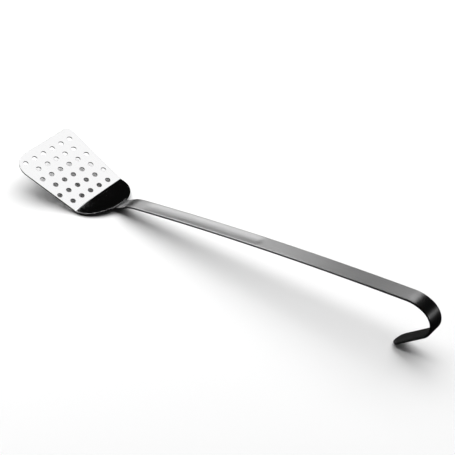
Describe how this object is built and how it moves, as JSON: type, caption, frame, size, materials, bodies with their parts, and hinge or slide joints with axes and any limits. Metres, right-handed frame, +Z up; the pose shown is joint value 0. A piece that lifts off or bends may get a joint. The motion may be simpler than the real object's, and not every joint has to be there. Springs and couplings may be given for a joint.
{
  "type": "grill spatula",
  "caption": "Long-handled perforated grill spatula: a bent sheet-steel blade spot-welded to a grooved flat-bar handle that ends in a hanging hook.",
  "frame": {"origin": "centre of the box's base, on the surface that the spatula lies on, resting on its tongue and the tip of its hook", "axes": "+Y from the blade to the hook, +Z up, X across the blade"},
  "size_m": [0.102, 0.5742, 0.0722],
  "materials": {
    "polished_steel": "mirror-polished stainless steel, not plated, with fine rolling and wiping marks",
    "satin_steel": "satin stainless steel, brushed along the bar, with bright rounded edges",
    "weld_steel": "fused stainless steel, slightly straw-tinted"
  },
  "bodies": {
    "root": {"blade": "polished_steel", "handle": "satin_steel", "front_spot_weld": "weld_steel", "middle_spot_weld": "weld_steel", "rear_spot_weld": "weld_steel"}
  },
  "joints": []
}
